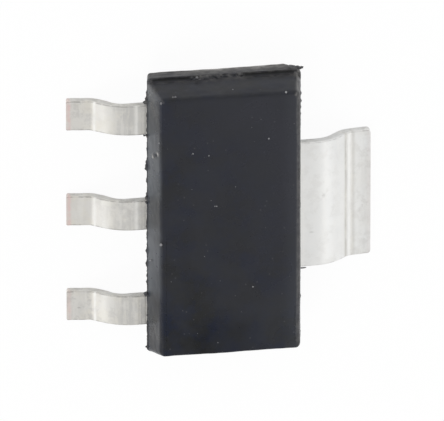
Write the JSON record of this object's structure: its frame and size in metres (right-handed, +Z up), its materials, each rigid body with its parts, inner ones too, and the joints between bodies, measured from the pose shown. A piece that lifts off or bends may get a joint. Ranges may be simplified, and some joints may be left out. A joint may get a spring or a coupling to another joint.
{
  "type": "surface-mount mosfet",
  "caption": "Flat moulded power transistor body with three narrow gull-wing leads on one side and one wide gull-wing tab on the other.",
  "frame": {"origin": "on the board plane, under the middle of the package", "axes": "+Z up from the board, +X towards the wide drain tab, +Y towards the gate lead's end"},
  "size_m": [0.007, 0.0066, 0.0017],
  "materials": {
    "mould_compound": "fine matt moulded epoxy",
    "tinned_copper": "matt tin plating on stamped copper",
    "silicon": "polished silicon",
    "solder": "dull solder",
    "bond_wire": "drawn aluminium"
  },
  "bodies": {
    "root": {"mould_body": "mould_compound", "drain_leadframe": "tinned_copper", "gate_lead": "tinned_copper", "source_lead": "tinned_copper", "mosfet_die": "silicon", "die_attach": "solder", "gate_bond_wire": "bond_wire", "source_bond_wire_1": "bond_wire", "source_bond_wire_2": "bond_wire"}
  },
  "joints": []
}
